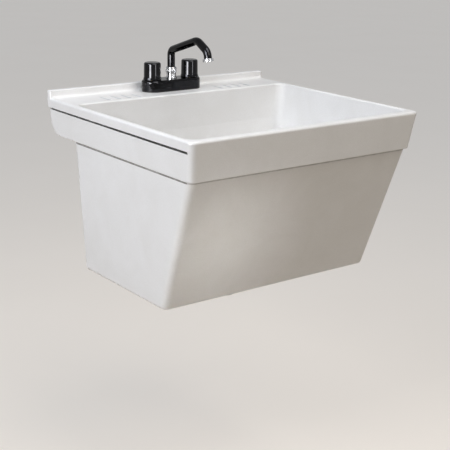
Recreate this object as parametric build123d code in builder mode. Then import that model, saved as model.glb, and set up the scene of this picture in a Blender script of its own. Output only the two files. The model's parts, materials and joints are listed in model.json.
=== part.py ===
"""Wall-hung utility laundry sink with a two-handle centreset faucet and a drain.

Frame: X to the right, Y towards the wall (the wall is the plane Y = 0), Z up.
Z = 0 is the top of the faucet deck and of the bowl's rim, X = 0 the middle of the sink.
All sizes are in millimetres.
"""

import os
from math import cos, radians, sin, sqrt

from build123d import *

os.makedirs("parts", exist_ok=True)

# Basin: one moulded piece
BASIN_WIDTH = 584.0
BASIN_DEPTH = 541.0
BASIN_DROP = 364.0
APRON_DROP = 80.0
APRON_FRONT_DRAFT = 13.0
APRON_SIDE_DRAFT = 8.0
APRON_CORNER_R = 14.0
APRON_WALL = 9.0
APRON_BACK_R = 30.0
APRON_EDGE_R = 2.0
LIP_DROP = 20.0
LIP_PROUD = 2.5
SEAM_HEIGHT = 4.5
SEAM_DEPTH = 8.0
SEAM_END = 15.0
TUB_FRONT_STEP = 6.0
TUB_SIDE_STEP = 3.5
FRONT_SLOPE_RUN = 101.0
SIDE_SLOPE_RUN = 10.0
WALL_GAP = 90.0
WALL_GAP_RUN = 18.0
TUB_CORNER_R = 16.0
TUB_BOTTOM_R = 10.0
TUB_WALL = 8.0
BACK_WALL = 12.0
FLOOR = 12.0
RIM_FRONT = 20.0
RIM_SIDE = 13.0
DECK_DEPTH = 104.0
DECK_THICKNESS = 10.0
RIM_EDGE_R = 5.0
BOWL_EDGE_R = 4.0
BOWL_CORNER_R = 20.0
BOWL_BOTTOM_R = 14.0
LEDGE_HEIGHT = 17.0
LEDGE_THICKNESS = 12.0
LEDGE_COVE_R = 6.0
LEDGE_EDGE_R = 3.0
LEDGE_END_INSET = 0.6

# Soap grooves in the deck, on both sides of the faucet
GROOVE_COUNT = 4
GROOVE_FIRST = 112.0
GROOVE_PITCH = 26.0
GROOVE_R = 5.0
GROOVE_DEPTH = 3.5
GROOVE_BACK = 38.0
GROOVE_FRONT = 88.0
GROOVE_EDGE_R = 0.8

# Wall hanger: a steel rail whose channel carries a rib under the deck
HANGER_LENGTH = 440.0
HANGER_STEEL = 3.0
HANGER_TOP = 12.0
HANGER_BOTTOM = 64.0
HANGER_LIP = 14.0
HANGER_HOLE_R = 4.25
HANGER_HOLE_DROP = 50.0
STUD_SPACING = 406.4
BLOCK_SPACING = 152.4
RIB_GAP = 5.0
RIB_THICKNESS = 6.0
RIB_DROP = 30.0
RIB_LENGTH = 424.0
RIB_PLAY = 2.0

# Drain
DRAIN_BACK = 265.0
DISH_R = 100.0
DISH_DEPTH = 3.0
DRAIN_HOLE_R = 26.0
FLANGE_R = 38.0
FLANGE_THICKNESS = 2.5
FLANGE_SEAL = 1.0
FLANGE_PLAY = 1.0
BARREL_R = 24.0
BARREL_BORE_R = 20.0
BARREL_LOWER_BORE_R = 18.2
BARREL_LENGTH = 30.0
MOUTH_CHAMFER = 1.5
THREAD_PLAY = 0.05
GRID_DROP = 20.0
GRID_THICKNESS = 2.0
GRID_HOLE_R = 2.6
GRID_RING_COUNTS = (1, 6, 12)
GRID_RING_PITCH = 6.8
GASKET_THICKNESS = 3.0
FIBRE_THICKNESS = 1.5
WASHER_R = 36.0
WASHER_PLAY = 0.3
LOCKNUT_R = 34.0
LOCKNUT_HEIGHT = 8.0
LOCKNUT_LUGS = 6
LUG_WIDTH = 9.0
LUG_REACH = 4.0
TAILPIECE_R = 19.05
TAILPIECE_NECK_R = 18.4
TAILPIECE_NECK = 5.0
TAILPIECE_WALL = 1.3
TAILPIECE_LENGTH = 36.0
TAIL_FLANGE_R = 22.5
TAIL_FLANGE_THICKNESS = 2.0
TAIL_WASHER_THICKNESS = 2.0
TAIL_NUT_R = 30.0
TAIL_NUT_GRIP = 9.0
TAIL_NUT_LIP = 4.0
TAIL_NUT_PLAY = 0.3

# Stopper
STOPPER_PLUG_PLAY = 0.4
STOPPER_PLUG_DEPTH = 12.0
STOPPER_PLUG_TAPER = 1.2
STOPPER_CAP_R = 25.0
STOPPER_CAP_THICKNESS = 3.0
STOPPER_POST_R = 3.2
STOPPER_POST_HEIGHT = 8.0
PULL_RING_R = 11.0
PULL_RING_WIRE_R = 1.0
PULL_RING_PLAY = 0.5

# Faucet: centreset on the deck
FAUCET_BACK = 44.5
INLET_SPACING = 101.6
DECK_HOLE_R = 14.0
BASE_END_REACH = 24.2
BASE_DEPTH = 52.0
BASE_TOP = 26.0
BASE_SHELL = 2.5
BASE_EDGE_R = 5.0
BASE_SEAL = 2.0
SEAL_INSET = 1.0
SHANK_R = 11.0
INLET_R = 10.4
INLET_LENGTH = 35.0
SHANK_BORE_R = 6.5
SHANK_DROP = 58.0
VALVE_R = 13.0
VALVE_BOTTOM = 5.0
BOSS_R = 11.0
BOSS_RISE = 6.0
CARTRIDGE_R = 8.5
CARTRIDGE_SEAT = 10.0
CARTRIDGE_FLANGE_R = 10.0
CARTRIDGE_FLANGE = 2.5
CARTRIDGE_NECK_R = 6.5
CARTRIDGE_NECK = 6.0
PART_PLAY = 0.05
BASE_HOLE_PLAY = 0.4
BONNET_R = 15.0
BONNET_HEIGHT = 5.5
SHANK_WASHER_R = 17.0
SHANK_WASHER = 2.0
SHANK_NUT_R = 17.5
SHANK_NUT_HEIGHT = 9.0
WATERWAY_R = 6.0
WATERWAY_WALL = 1.0
WATERWAY_HEIGHT = 13.5
TEE_R = 9.5
TEE_BOTTOM = 6.0

# Handles
HANDLE_R = 19.4
HANDLE_TOP_R = 19.0
HANDLE_TOP = 65.5
HANDLE_GAP = 0.6
HANDLE_EDGE = 4.0
HANDLE_WALL = 2.8
SKIRT_FLARE = 1.2
SKIRT_RIM = 1.0
SKIRT_HEIGHT = 5.5
HANDLE_ROOF = 7.0
HANDLE_HUB_R = 7.5
HANDLE_HUB_BOTTOM = 44.0
STEM_R = 4.0
STEM_BOTTOM = 14.0
STEM_TOP = 55.5
RUNNING_PLAY = 0.05
SCREW_R = 1.6
SCREW_LENGTH = 10.0
SCREW_HEAD_R = 3.8
SCREW_HEAD = 1.8
SCREW_SLOT = 0.8
SCREW_POCKET_R = 4.4
CAP_R = 8.4
CAP_SEAT = 2.0
CAP_CROWN = 0.4

# Spout: swivels on a hub in the middle of the base
HUB_FLANGE_R = 12.6
HUB_FLANGE = 4.0
HUB_R = 11.2
HUB_THREAD_R = 10.5
HUB_SHOULDER = 37.0
HUB_TOP = 46.0
HUB_NIPPLE_R = 7.0
HUB_BORE_R = 5.0
TUBE_R = 8.75
TUBE_WALL = 1.0
TUBE_BOTTOM = 29.5
TUBE_SEAT = 29.0
RING_R = 10.1
RING_BOTTOM = 33.0
RING_THICKNESS = 2.4
RING_PLAY = 0.1
COLLAR_R = 10.2
COLLAR_THICKNESS = 2.4
COLLAR_PLAY = 0.3
NUT_R = 12.4
NUT_BOTTOM = 38.0
NUT_LIP = 3.0
NUT_PLAY = 0.3
POST_HEIGHT = 89.2
RISE_ANGLE = 17.6
RISE_LENGTH = 107.0
FALL_ANGLE = 28.5
FALL_LENGTH = 42.5
TIP_ANGLE = 78.0
TIP_LENGTH = 17.5
POST_BEND_R = 14.0
CREST_BEND_R = 24.0
FALL_BEND_R = 20.0
NOZZLE_R = 11.9
NOZZLE_GRIP = 2.5
NOZZLE_REACH = 4.0
NOZZLE_EDGE = 0.8
NOZZLE_SEAT_R = 9.4
OUTLET_WASHER = 1.4
OUTLET_WASHER_BORE_R = 6.5
SCREEN_THICKNESS = 1.2
SCREEN_HOLE_R = 0.75
SCREEN_RING_COUNTS = (1, 6, 12)
SCREEN_RING_PITCH = 2.6

# What follows from the driving dimensions
HALF_WIDTH = BASIN_WIDTH / 2
BASE_LENGTH = INLET_SPACING + 2 * BASE_END_REACH
FLOOR_UNDERSIDE = -BASIN_DROP
FLOOR_TOP = FLOOR_UNDERSIDE + FLOOR
APRON_BOTTOM = -APRON_DROP
DRAIN_Y = -DRAIN_BACK
FAUCET_Y = -FAUCET_BACK
DISH_BOTTOM = FLOOR_TOP - DISH_DEPTH
DRAIN_SEAT = DISH_BOTTOM - FLANGE_THICKNESS - FLANGE_SEAL
FLANGE_UNDERSIDE = DRAIN_SEAT + FLANGE_SEAL
FLANGE_TOP = FLANGE_UNDERSIDE + FLANGE_THICKNESS
GRID_TOP = FLANGE_TOP - GRID_DROP
GRID_BOTTOM = GRID_TOP - GRID_THICKNESS
GASKET_BOTTOM = FLOOR_UNDERSIDE - GASKET_THICKNESS
FIBRE_BOTTOM = GASKET_BOTTOM - FIBRE_THICKNESS
LOCKNUT_BOTTOM = FIBRE_BOTTOM - LOCKNUT_HEIGHT
BARREL_BOTTOM = FLANGE_UNDERSIDE - BARREL_LENGTH
TAIL_WASHER_BOTTOM = BARREL_BOTTOM - TAIL_WASHER_THICKNESS
TAIL_FLANGE_BOTTOM = TAIL_WASHER_BOTTOM - TAIL_FLANGE_THICKNESS
TAIL_NUT_BOTTOM = TAIL_FLANGE_BOTTOM - TAIL_NUT_LIP
TAILPIECE_BOTTOM = TAIL_FLANGE_BOTTOM - TAILPIECE_LENGTH
TAILPIECE_BORE_R = TAILPIECE_R - TAILPIECE_WALL
INLETS = (("hot", -INLET_SPACING / 2), ("cold", INLET_SPACING / 2))
BASE_ROOF = BASE_TOP - BASE_SHELL
BOSS_TOP = BASE_TOP + BOSS_RISE
CARTRIDGE_TOP = BOSS_TOP + CARTRIDGE_FLANGE + CARTRIDGE_NECK
HANDLE_BOTTOM = BASE_TOP + HANDLE_GAP
HANDLE_CEILING = HANDLE_TOP - HANDLE_ROOF
CAP_BOTTOM = HANDLE_TOP - CAP_SEAT
SCREW_HEAD_BOTTOM = CAP_BOTTOM - SCREW_HEAD - PART_PLAY


def export(piece, label):
    """Name a finished piece and write it as its own STEP file."""
    piece.part.label = label
    export_step(piece.part, f"parts/{label}.step")


def turn(x, y, outline, mode=Mode.ADD):
    """Turn an outline of (radius, height) points about the vertical through (x, y)."""
    upright = Plane(origin=(x, y, 0), x_dir=(1, 0, 0), z_dir=(0, -1, 0))
    with BuildSketch(upright) as half_section:
        with BuildLine():
            Polyline(*outline, close=True)
        make_face()
    revolve(half_section.sketch, axis=Axis((x, y, 0), (0, 0, 1)), mode=mode)


def ring_outline(inner, outer, low, high):
    """Half section of a plain ring."""
    return ((inner, low), (outer, low), (outer, high), (inner, high))


def plan(half_width, front, back, corner_r, back_half_width=None, back_corner_r=0.0):
    """Plan outline with rounded front corners, on the workplane of the open sketch."""
    rear = back_half_width or half_width
    corners = ((-half_width, front), (half_width, front), (rear, back), (-rear, back))
    with BuildLine() as edge:
        Polyline(*corners, close=True)
    make_face(edge.edges())
    fillet(vertices().sort_by(Axis.Y)[:2], corner_r)
    if back_corner_r:
        fillet(vertices().sort_by(Axis.Y)[-2:], back_corner_r)


def ring_holes(counts, pitch, radius):
    """Round holes in rings a pitch apart from the middle outwards, cut from the open sketch."""
    for index, count in enumerate(counts):
        with PolarLocations(index * pitch, count):
            Circle(radius, mode=Mode.SUBTRACT)


def groove(x):
    """Soap groove in the deck: a round-ended ramp that deepens away from the wall."""
    deep_end = Vector(x, -GROOVE_FRONT, GROOVE_R - GROOVE_DEPTH)
    shallow_end = Vector(x, -GROOVE_BACK, GROOVE_R)
    ramp = deep_end - shallow_end
    with BuildSketch(Plane(origin=shallow_end, z_dir=ramp)) as section:
        Circle(GROOVE_R)
    extrude(section.sketch, amount=ramp.length, mode=Mode.SUBTRACT)
    with Locations(deep_end):
        Sphere(GROOVE_R, mode=Mode.SUBTRACT)


# Basin: outer shell, apron, lip, deck and ledge, less the bowl
def half_width_at(z):
    """Half width of the drafted apron at height z."""
    return HALF_WIDTH + z / APRON_DROP * APRON_SIDE_DRAFT


def front_at(z):
    """Front face of the drafted apron at height z."""
    return -BASIN_DEPTH - z / APRON_DROP * APRON_FRONT_DRAFT


TUB_HALF_TOP = half_width_at(APRON_BOTTOM) - TUB_SIDE_STEP
TUB_FRONT_TOP = front_at(APRON_BOTTOM) + TUB_FRONT_STEP
TUB_HALF_FLOOR = TUB_HALF_TOP - SIDE_SLOPE_RUN
TUB_FRONT_FLOOR = TUB_FRONT_TOP + FRONT_SLOPE_RUN
TUB_BACK_FLOOR = -WALL_GAP - WALL_GAP_RUN
BOWL_HALF_TOP = HALF_WIDTH - RIM_SIDE
BOWL_FRONT_TOP = -BASIN_DEPTH + RIM_FRONT
BOWL_HALF_MID = TUB_HALF_TOP - TUB_WALL
BOWL_FRONT_MID = TUB_FRONT_TOP + TUB_WALL
BOWL_BACK_MID = -WALL_GAP - BACK_WALL
BOWL_HALF_FLOOR = TUB_HALF_FLOOR - TUB_WALL
BOWL_FRONT_FLOOR = TUB_FRONT_FLOOR + TUB_WALL
BOWL_BACK_FLOOR = TUB_BACK_FLOOR - BACK_WALL

with BuildPart() as bowl_space:
    with BuildSketch(Plane.XY):
        plan(BOWL_HALF_TOP, BOWL_FRONT_TOP, -DECK_DEPTH, BOWL_CORNER_R, None, BOWL_CORNER_R)
    with BuildSketch(Plane.XY.offset(APRON_BOTTOM)):
        plan(BOWL_HALF_MID, BOWL_FRONT_MID, BOWL_BACK_MID, BOWL_CORNER_R, None, BOWL_CORNER_R)
    loft(ruled=True)
    with BuildSketch(Plane.XY.offset(APRON_BOTTOM)):
        plan(BOWL_HALF_MID, BOWL_FRONT_MID, BOWL_BACK_MID, BOWL_CORNER_R, None, BOWL_CORNER_R)
    with BuildSketch(Plane.XY.offset(FLOOR_TOP)):
        plan(BOWL_HALF_FLOOR, BOWL_FRONT_FLOOR, BOWL_BACK_FLOOR, BOWL_CORNER_R, None, BOWL_CORNER_R)
    loft(ruled=True)
    fillet(edges().group_by(Axis.Z)[0], radius=BOWL_BOTTOM_R)

with BuildPart() as under_deck:
    hollow_top = half_width_at(-DECK_THICKNESS) - LIP_PROUD - APRON_WALL
    hollow_bottom = half_width_at(APRON_BOTTOM) - LIP_PROUD - APRON_WALL
    with BuildSketch(Plane.XY.offset(-DECK_THICKNESS)):
        with Locations((0, -WALL_GAP / 2)):
            Rectangle(2 * hollow_top, WALL_GAP)
    with BuildSketch(Plane.XY.offset(APRON_BOTTOM)):
        with Locations((0, -WALL_GAP / 2)):
            Rectangle(2 * hollow_bottom, WALL_GAP)
    loft(ruled=True)

with BuildPart() as shell:
    with BuildSketch(Plane.XY.offset(APRON_BOTTOM)):
        plan(TUB_HALF_TOP, TUB_FRONT_TOP, -WALL_GAP, TUB_CORNER_R, None, TUB_CORNER_R)
    with BuildSketch(Plane.XY.offset(FLOOR_UNDERSIDE)):
        plan(TUB_HALF_FLOOR, TUB_FRONT_FLOOR, TUB_BACK_FLOOR, TUB_CORNER_R, None, TUB_CORNER_R)
    loft(ruled=True)
    fillet(edges().group_by(Axis.Z)[0], radius=TUB_BOTTOM_R)

with BuildPart() as apron:
    with BuildSketch(Plane.XY):
        plan(HALF_WIDTH, -BASIN_DEPTH, 0, APRON_CORNER_R)
    with BuildSketch(Plane.XY.offset(-LIP_DROP)):
        plan(half_width_at(-LIP_DROP), front_at(-LIP_DROP), 0, APRON_CORNER_R)
    loft(ruled=True)
    top_edges = edges().filter_by_position(Axis.Z, 0, 0)
    fillet(top_edges.sort_by(Axis.Y)[:-1], radius=RIM_EDGE_R)
    for z in (-LIP_DROP, APRON_BOTTOM):
        with BuildSketch(Plane.XY.offset(z)):
            plan(half_width_at(z), front_at(z), 0, APRON_CORNER_R, half_width_at(z) - LIP_PROUD)
    loft(ruled=True)
    # rounded lower back corners, then the rounded lower edge
    with BuildSketch(Plane.YZ) as back_corner:
        with Locations((-APRON_BACK_R / 2, APRON_BOTTOM + APRON_BACK_R / 2)):
            Rectangle(APRON_BACK_R, APRON_BACK_R)
        with Locations((-APRON_BACK_R, APRON_BOTTOM + APRON_BACK_R)):
            Circle(APRON_BACK_R, mode=Mode.SUBTRACT)
    extrude(amount=HALF_WIDTH, both=True, mode=Mode.SUBTRACT)
    lower = edges().filter_by_position(Axis.Z, APRON_BOTTOM, APRON_BOTTOM + APRON_BACK_R)
    across = lower.filter_by(Axis.X).filter_by_position(Axis.Y, -APRON_BACK_R, 0)
    fillet(lower - across, radius=APRON_EDGE_R)
    # seam under the lip, along both sides
    seam_front = -BASIN_DEPTH + SEAM_END
    with BuildSketch(Plane.XY.offset(-LIP_DROP)):
        with Locations((0, seam_front / 2)):
            Rectangle(2 * HALF_WIDTH, -seam_front)
            Rectangle(2 * (half_width_at(-LIP_DROP) - SEAM_DEPTH), -seam_front, mode=Mode.SUBTRACT)
    extrude(amount=-SEAM_HEIGHT, mode=Mode.SUBTRACT)

with BuildPart() as ledge:
    with BuildSketch(Plane.YZ) as ledge_section:
        with BuildLine():
            Polyline(
                (0, -RIM_EDGE_R),
                (0, LEDGE_HEIGHT),
                (-LEDGE_THICKNESS, LEDGE_HEIGHT),
                (-LEDGE_THICKNESS, -RIM_EDGE_R),
                close=True,
            )
        make_face()
    extrude(amount=HALF_WIDTH - LEDGE_END_INSET, both=True)
    at_wall = edges().group_by(Axis.Y)[-1]
    underneath = edges().group_by(Axis.Z)[0]
    fillet(edges() - at_wall - underneath, radius=LEDGE_EDGE_R)
    with BuildSketch(Plane.YZ) as cove:
        with Locations((-LEDGE_THICKNESS - LEDGE_COVE_R / 2, LEDGE_COVE_R / 2)):
            Rectangle(LEDGE_COVE_R, LEDGE_COVE_R)
        with Locations((-LEDGE_THICKNESS - LEDGE_COVE_R, LEDGE_COVE_R)):
            Circle(LEDGE_COVE_R, mode=Mode.SUBTRACT)
    extrude(amount=HALF_WIDTH - RIM_EDGE_R, both=True)

with BuildPart() as tub:
    add(apron.part)
    add(shell.part)
    add(under_deck.part, mode=Mode.SUBTRACT)
    add(ledge.part)
    # rib that hangs in the wall rail
    rib_y = -HANGER_STEEL - RIB_GAP - RIB_THICKNESS / 2
    rib_height = RIB_DROP - DECK_THICKNESS
    with Locations((0, rib_y, -RIB_DROP + rib_height / 2)):
        Box(RIB_LENGTH, RIB_THICKNESS, rib_height)
    # bowl, its rounded rim edge and the drain's dish and hole
    add(bowl_space.part, mode=Mode.SUBTRACT)
    in_bowl = edges().filter_by_position(Axis.Z, 0, 0).filter_by_position(Axis.Y, BOWL_FRONT_TOP, -DECK_DEPTH)
    fillet(in_bowl.filter_by_position(Axis.X, -BOWL_HALF_TOP, BOWL_HALF_TOP), radius=BOWL_EDGE_R)
    seat_r = FLANGE_R + FLANGE_PLAY
    turn(
        0,
        DRAIN_Y,
        (
            (0, FLOOR_TOP),
            (DISH_R, FLOOR_TOP),
            (seat_r, DISH_BOTTOM),
            (seat_r, DRAIN_SEAT),
            (DRAIN_HOLE_R, DRAIN_SEAT),
            (DRAIN_HOLE_R, FLOOR_UNDERSIDE),
            (0, FLOOR_UNDERSIDE),
        ),
        Mode.SUBTRACT,
    )
    # soap grooves, deeper towards the bowl
    for side in (-1, 1):
        for index in range(GROOVE_COUNT):
            groove(side * (GROOVE_FIRST + index * GROOVE_PITCH))
    deck_edges = edges().filter_by_position(Axis.Z, -PART_PLAY, PART_PLAY)
    groove_edges = deck_edges.filter_by_position(Axis.Y, -DECK_DEPTH + BOWL_EDGE_R, -GROOVE_BACK)
    fillet(groove_edges, radius=GROOVE_EDGE_R)
    # holes for the faucet's shanks
    with Locations(*[(x, FAUCET_Y, 0) for _, x in INLETS]):
        Cylinder(DECK_HOLE_R, 2 * DECK_THICKNESS + PART_PLAY, mode=Mode.SUBTRACT)
export(tub, "tub")


# Wall hanger: pressed rail, screwed to the wall, with a channel for the rib
rib_front = -HANGER_STEEL - RIB_GAP - RIB_THICKNESS
channel_inside = rib_front - RIB_PLAY
with BuildPart() as wall_hanger:
    with BuildSketch(Plane.YZ) as rail:
        with BuildLine():
            Polyline(
                (0, -HANGER_TOP),
                (0, -HANGER_BOTTOM),
                (-HANGER_STEEL, -HANGER_BOTTOM),
                (-HANGER_STEEL, -RIB_DROP - HANGER_STEEL),
                (channel_inside - HANGER_STEEL, -RIB_DROP - HANGER_STEEL),
                (channel_inside - HANGER_STEEL, -HANGER_LIP),
                (channel_inside, -HANGER_LIP),
                (channel_inside, -RIB_DROP),
                (-HANGER_STEEL, -RIB_DROP),
                (-HANGER_STEEL, -HANGER_TOP),
                close=True,
            )
        make_face()
    extrude(amount=HANGER_LENGTH / 2, both=True)
    for spacing in (STUD_SPACING, BLOCK_SPACING):
        with BuildSketch(Plane.XZ) as screw_holes:
            with Locations((-spacing / 2, -HANGER_HOLE_DROP), (spacing / 2, -HANGER_HOLE_DROP)):
                Circle(HANGER_HOLE_R)
        extrude(amount=HANGER_STEEL, mode=Mode.SUBTRACT)
export(wall_hanger, "wall_hanger")


# Drain, from the flange in the bowl down to the tailpiece
def drain_ring(label, inner, outer, low, high):
    """A plain ring on the drain's axis, as a piece of its own."""
    with BuildPart() as ring:
        turn(0, DRAIN_Y, ring_outline(inner, outer, low, high))
    export(ring, label)


with BuildPart() as strainer_body:
    turn(
        0,
        DRAIN_Y,
        (
            (BARREL_BORE_R + MOUTH_CHAMFER, FLANGE_TOP),
            (FLANGE_R - MOUTH_CHAMFER, FLANGE_TOP),
            (FLANGE_R, FLANGE_UNDERSIDE + FLANGE_SEAL),
            (FLANGE_R, FLANGE_UNDERSIDE),
            (BARREL_R, FLANGE_UNDERSIDE),
            (BARREL_R, BARREL_BOTTOM),
            (BARREL_LOWER_BORE_R, BARREL_BOTTOM),
            (BARREL_LOWER_BORE_R, GRID_BOTTOM),
            (BARREL_BORE_R, GRID_BOTTOM),
            (BARREL_BORE_R, FLANGE_TOP - MOUTH_CHAMFER),
        ),
    )
export(strainer_body, "strainer_body")

with BuildPart() as strainer_grid:
    with BuildSketch(Plane((0, DRAIN_Y, GRID_BOTTOM))) as grid:
        Circle(BARREL_BORE_R - PART_PLAY)
        ring_holes(GRID_RING_COUNTS, GRID_RING_PITCH, GRID_HOLE_R)
    extrude(amount=GRID_THICKNESS)
export(strainer_grid, "strainer_grid")

washer_bore = BARREL_R + WASHER_PLAY
drain_ring("flange_seal", washer_bore, FLANGE_R - FLANGE_PLAY, DRAIN_SEAT, FLANGE_UNDERSIDE)
drain_ring("drain_gasket", washer_bore, WASHER_R, GASKET_BOTTOM, FLOOR_UNDERSIDE)
drain_ring("friction_washer", washer_bore, WASHER_R, FIBRE_BOTTOM, GASKET_BOTTOM)
drain_ring("tailpiece_washer", TAILPIECE_BORE_R, TAIL_FLANGE_R, TAIL_WASHER_BOTTOM, BARREL_BOTTOM)

with BuildPart() as drain_locknut:
    with BuildSketch(Plane((0, DRAIN_Y, LOCKNUT_BOTTOM))) as lugs:
        Circle(LOCKNUT_R)
        with PolarLocations(LOCKNUT_R, LOCKNUT_LUGS):
            Rectangle(2 * LUG_REACH, LUG_WIDTH)
        Circle(BARREL_R + THREAD_PLAY, mode=Mode.SUBTRACT)
    extrude(amount=LOCKNUT_HEIGHT)
export(drain_locknut, "drain_locknut")

with BuildPart() as tailpiece:
    turn(
        0,
        DRAIN_Y,
        (
            (TAILPIECE_BORE_R, TAIL_WASHER_BOTTOM),
            (TAIL_FLANGE_R, TAIL_WASHER_BOTTOM),
            (TAIL_FLANGE_R, TAIL_FLANGE_BOTTOM),
            (TAILPIECE_NECK_R, TAIL_FLANGE_BOTTOM),
            (TAILPIECE_NECK_R, TAIL_FLANGE_BOTTOM - TAILPIECE_NECK),
            (TAILPIECE_R, TAIL_FLANGE_BOTTOM - TAILPIECE_NECK),
            (TAILPIECE_R, TAILPIECE_BOTTOM),
            (TAILPIECE_BORE_R, TAILPIECE_BOTTOM),
        ),
    )
export(tailpiece, "tailpiece")

with BuildPart() as tailpiece_nut:
    nut_top = BARREL_BOTTOM + TAIL_NUT_GRIP
    with BuildSketch(Plane((0, DRAIN_Y, TAIL_NUT_BOTTOM))) as hexagon:
        RegularPolygon(TAIL_NUT_R, 6)
    extrude(amount=nut_top - TAIL_NUT_BOTTOM)
    with Locations((0, DRAIN_Y, TAIL_FLANGE_BOTTOM)):
        Cylinder(
            BARREL_R + THREAD_PLAY,
            nut_top - TAIL_FLANGE_BOTTOM,
            align=(Align.CENTER, Align.CENTER, Align.MIN),
            mode=Mode.SUBTRACT,
        )
    with Locations((0, DRAIN_Y, TAIL_NUT_BOTTOM)):
        Cylinder(
            TAILPIECE_R + TAIL_NUT_PLAY,
            TAIL_NUT_LIP,
            align=(Align.CENTER, Align.CENTER, Align.MIN),
            mode=Mode.SUBTRACT,
        )
export(tailpiece_nut, "tailpiece_nut")

# Stopper: a rubber plug that rests on the flange, lifted by its ring
with BuildPart() as stopper:
    plug_r = BARREL_BORE_R - STOPPER_PLUG_PLAY
    cap_top = FLANGE_TOP + STOPPER_CAP_THICKNESS
    post_top = cap_top + STOPPER_POST_HEIGHT
    ring_z = cap_top + STOPPER_POST_HEIGHT / 2
    turn(
        0,
        DRAIN_Y,
        (
            (0, FLANGE_TOP - STOPPER_PLUG_DEPTH),
            (plug_r - STOPPER_PLUG_TAPER, FLANGE_TOP - STOPPER_PLUG_DEPTH),
            (plug_r, FLANGE_TOP),
            (STOPPER_CAP_R, FLANGE_TOP),
            (STOPPER_CAP_R, cap_top - FLANGE_SEAL),
            (STOPPER_CAP_R - MOUTH_CHAMFER, cap_top),
            (STOPPER_POST_R, cap_top),
            (STOPPER_POST_R, post_top),
            (0, post_top),
        ),
    )
    with Locations((0, DRAIN_Y, ring_z)):
        Cylinder(
            PULL_RING_WIRE_R + PULL_RING_PLAY,
            4 * STOPPER_POST_R,
            rotation=(90, 0, 0),
            mode=Mode.SUBTRACT,
        )
export(stopper, "stopper")

with BuildPart() as pull_ring:
    # the ring lies tilted, its far side on the stopper's cap
    sag = (ring_z - cap_top - PULL_RING_WIRE_R) / (2 * PULL_RING_R)
    reach = sqrt(1 - sag * sag)
    ring_plane = Plane(
        origin=(PULL_RING_R * reach, DRAIN_Y, ring_z - PULL_RING_R * sag),
        x_dir=(reach, 0, -sag),
        z_dir=(sag, 0, reach),
    )
    with BuildLine(ring_plane) as loop:
        CenterArc((0, 0), PULL_RING_R, 0, 360)
    with BuildSketch(Plane(origin=loop.line @ 0, z_dir=loop.line % 0)):
        Circle(PULL_RING_WIRE_R)
    sweep()
export(pull_ring, "pull_ring")


# Faucet: base cover, and what it covers
def stadium(length, depth_across):
    """Plan outline with full round ends, on the workplane of the open sketch."""
    with Locations((0, FAUCET_Y)):
        SlotOverall(length, depth_across)


with BuildPart() as base_cover:
    with BuildSketch(Plane.XY.offset(BASE_SEAL)):
        stadium(BASE_LENGTH, BASE_DEPTH)
    extrude(amount=BASE_TOP - BASE_SEAL)
    fillet(edges().group_by(Axis.Z)[-1], radius=BASE_EDGE_R)
    with BuildSketch(Plane.XY.offset(BASE_SEAL)):
        stadium(BASE_LENGTH - 2 * BASE_SHELL, BASE_DEPTH - 2 * BASE_SHELL)
    extrude(amount=BASE_ROOF - BASE_EDGE_R - BASE_SEAL + BASE_SHELL, mode=Mode.SUBTRACT)
    with BuildSketch(Plane.XY.offset(BASE_SEAL)):
        stadium(BASE_LENGTH - 2 * BASE_EDGE_R, BASE_DEPTH - 2 * BASE_EDGE_R)
    extrude(amount=BASE_ROOF - BASE_SEAL, mode=Mode.SUBTRACT)
    for _, x in INLETS:
        with Locations((x, FAUCET_Y, BASE_TOP)):
            Cylinder(BOSS_R + BASE_HOLE_PLAY, 4 * BASE_SHELL, mode=Mode.SUBTRACT)
    with Locations((0, FAUCET_Y, BASE_TOP)):
        Cylinder(HUB_NIPPLE_R + BASE_HOLE_PLAY, 4 * BASE_SHELL, mode=Mode.SUBTRACT)
export(base_cover, "base_cover")

with BuildPart() as base_seal:
    with BuildSketch(Plane.XY):
        stadium(BASE_LENGTH - 2 * SEAL_INSET, BASE_DEPTH - 2 * SEAL_INSET)
        with Locations(*[(x, FAUCET_Y) for _, x in INLETS]):
            Circle(SHANK_R + BASE_HOLE_PLAY, mode=Mode.SUBTRACT)
    extrude(amount=BASE_SEAL)
export(base_seal, "base_seal")

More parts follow.
